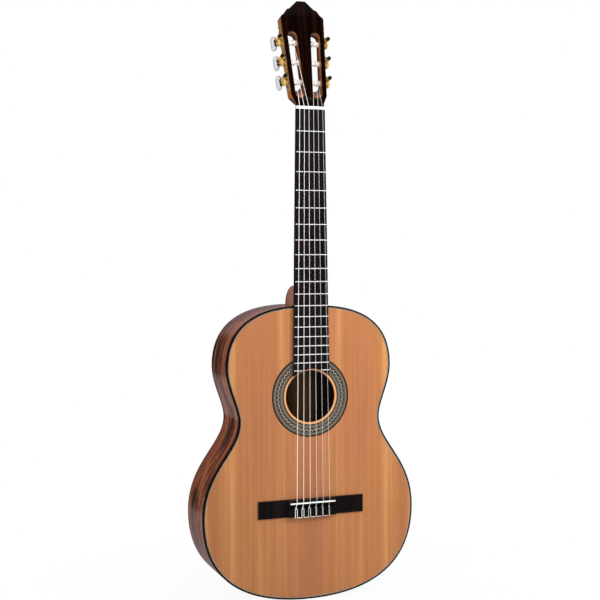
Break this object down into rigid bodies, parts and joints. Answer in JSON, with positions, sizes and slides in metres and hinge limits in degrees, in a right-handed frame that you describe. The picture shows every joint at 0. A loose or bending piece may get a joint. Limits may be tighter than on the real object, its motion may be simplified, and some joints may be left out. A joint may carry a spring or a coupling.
{
  "type": "classical guitar",
  "caption": "Classical guitar with fan-braced hollow body, slotted head, coupled worm-gear tuning machines, fretted fingerboard, tie bridge and strings.",
  "frame": {"origin": "centre of the end graft's outer face at the tail of the body, on the centreline", "axes": "+Z from the tail to the head along the strings, -Y the front (soundboard) side, +X the treble side, so right as seen from the front"},
  "size_m": [0.3748, 0.1139, 1.0052],
  "materials": {
    "cedar_top": "satin lacquer over fine straight grain",
    "body_rosewood": "gloss lacquer over dark flamed figure",
    "neck_mahogany": "gloss lacquer",
    "brace_wood": "bare",
    "ebony": "satin",
    "head_rosewood": "gloss lacquer",
    "black_binding": "gloss",
    "rosette_inlay": "satin lacquer over mosaic inlay",
    "bone": "satin",
    "gilt_brass": "polished",
    "black_steel": "black gloss",
    "pearloid": "pearl gloss",
    "roller_plastic": "satin",
    "wound_string": "fine round winding",
    "nylon": "clear gloss"
  },
  "bodies": {
    "guitar": {"soundboard": "cedar_top", "rosette": "rosette_inlay", "back": "body_rosewood", "side_bass": "body_rosewood", "side_treble": "body_rosewood", "top_binding": "black_binding", "back_binding": "black_binding", "top_lining_bass": "brace_wood", "top_lining_treble": "brace_wood", "back_lining_bass": "brace_wood", "back_lining_treble": "brace_wood", "neck_block": "neck_mahogany", "tail_block": "neck_mahogany", "end_graft": "black_binding", "upper_harmonic_bar": "brace_wood", "lower_harmonic_bar": "brace_wood", "fan_bracing": "brace_wood", "back_centre_strip": "brace_wood", "back_brace_lower": "brace_wood", "back_brace_waist": "brace_wood", "back_brace_upper": "brace_wood", "bridge": "ebony", "saddle": "bone", "nut": "bone", "neck": "neck_mahogany", "heel_cap": "ebony", "head_veneer": "head_rosewood", "fingerboard": "ebony", "tuner_plate_bass": "gilt_brass", "tuner_plate_treble": "gilt_brass", "string_E6": "wound_string", "string_A5": "wound_string", "string_D4": "wound_string", "string_G3": "nylon", "string_B2": "nylon", "string_E1": "nylon"},
    "tuning_key_bass_1": {"worm_shaft_bass_1": "black_steel", "button_bass_1": "pearloid"},
    "roller_bass_1": {"string_roller_bass_1": "roller_plastic", "worm_gear_bass_1": "gilt_brass"},
    "tuning_key_bass_2": {"worm_shaft_bass_2": "black_steel", "button_bass_2": "pearloid"},
    "roller_bass_2": {"string_roller_bass_2": "roller_plastic", "worm_gear_bass_2": "gilt_brass"},
    "tuning_key_bass_3": {"worm_shaft_bass_3": "black_steel", "button_bass_3": "pearloid"},
    "roller_bass_3": {"string_roller_bass_3": "roller_plastic", "worm_gear_bass_3": "gilt_brass"},
    "tuning_key_treble_1": {"worm_shaft_treble_1": "black_steel", "button_treble_1": "pearloid"},
    "roller_treble_1": {"string_roller_treble_1": "roller_plastic", "worm_gear_treble_1": "gilt_brass"},
    "tuning_key_treble_2": {"worm_shaft_treble_2": "black_steel", "button_treble_2": "pearloid"},
    "roller_treble_2": {"string_roller_treble_2": "roller_plastic", "worm_gear_treble_2": "gilt_brass"},
    "tuning_key_treble_3": {"worm_shaft_treble_3": "black_steel", "button_treble_3": "pearloid"},
    "roller_treble_3": {"string_roller_treble_3": "roller_plastic", "worm_gear_treble_3": "gilt_brass"}
  },
  "joints": [
    {"name": "tuning_key_bass_1_turn", "type": "hinge", "parent": "guitar", "child": "tuning_key_bass_1", "pos_m": [-0.03951, -0.03317, 0.87159], "axis": [0, 0.9724, -0.2334], "continuous": true},
    {"name": "roller_bass_1_turn", "type": "hinge", "parent": "guitar", "child": "roller_bass_1", "pos_m": [-0.03909, -0.0351, 0.86353], "axis": [0.9988, 0.0117, 0.0486], "continuous": true},
    {"name": "tuning_key_bass_2_turn", "type": "hinge", "parent": "guitar", "child": "tuning_key_bass_2", "pos_m": [-0.04126, -0.02501, 0.90558], "axis": [0, 0.9724, -0.2334], "continuous": true},
    {"name": "roller_bass_2_turn", "type": "hinge", "parent": "guitar", "child": "roller_bass_2", "pos_m": [-0.04084, -0.02694, 0.89752], "axis": [0.9988, 0.0117, 0.0486], "continuous": true},
    {"name": "tuning_key_bass_3_turn", "type": "hinge", "parent": "guitar", "child": "tuning_key_bass_3", "pos_m": [-0.043, -0.01685, 0.93958], "axis": [0, 0.9724, -0.2334], "continuous": true},
    {"name": "roller_bass_3_turn", "type": "hinge", "parent": "guitar", "child": "roller_bass_3", "pos_m": [-0.04259, -0.01878, 0.93151], "axis": [0.9988, 0.0117, 0.0486], "continuous": true},
    {"name": "tuning_key_treble_1_turn", "type": "hinge", "parent": "guitar", "child": "tuning_key_treble_1", "pos_m": [0.03951, -0.03317, 0.87159], "axis": [0, 0.9724, -0.2334], "continuous": true},
    {"name": "roller_treble_1_turn", "type": "hinge", "parent": "guitar", "child": "roller_treble_1", "pos_m": [0.03909, -0.0351, 0.86353], "axis": [0.9988, -0.0117, -0.0486], "continuous": true},
    {"name": "tuning_key_treble_2_turn", "type": "hinge", "parent": "guitar", "child": "tuning_key_treble_2", "pos_m": [0.04126, -0.02501, 0.90558], "axis": [0, 0.9724, -0.2334], "continuous": true},
    {"name": "roller_treble_2_turn", "type": "hinge", "parent": "guitar", "child": "roller_treble_2", "pos_m": [0.04084, -0.02694, 0.89752], "axis": [0.9988, -0.0117, -0.0486], "continuous": true},
    {"name": "tuning_key_treble_3_turn", "type": "hinge", "parent": "guitar", "child": "tuning_key_treble_3", "pos_m": [0.043, -0.01685, 0.93958], "axis": [0, 0.9724, -0.2334], "continuous": true},
    {"name": "roller_treble_3_turn", "type": "hinge", "parent": "guitar", "child": "roller_treble_3", "pos_m": [0.04259, -0.01878, 0.93151], "axis": [0.9988, -0.0117, -0.0486], "continuous": true}
  ],
  "couplings": [
    {"joint": "roller_bass_1_turn", "follows": "tuning_key_bass_1_turn", "ratio": 0.066667},
    {"joint": "roller_bass_2_turn", "follows": "tuning_key_bass_2_turn", "ratio": 0.066667},
    {"joint": "roller_bass_3_turn", "follows": "tuning_key_bass_3_turn", "ratio": 0.066667},
    {"joint": "roller_treble_1_turn", "follows": "tuning_key_treble_1_turn", "ratio": 0.066667},
    {"joint": "roller_treble_2_turn", "follows": "tuning_key_treble_2_turn", "ratio": 0.066667},
    {"joint": "roller_treble_3_turn", "follows": "tuning_key_treble_3_turn", "ratio": 0.066667}
  ]
}
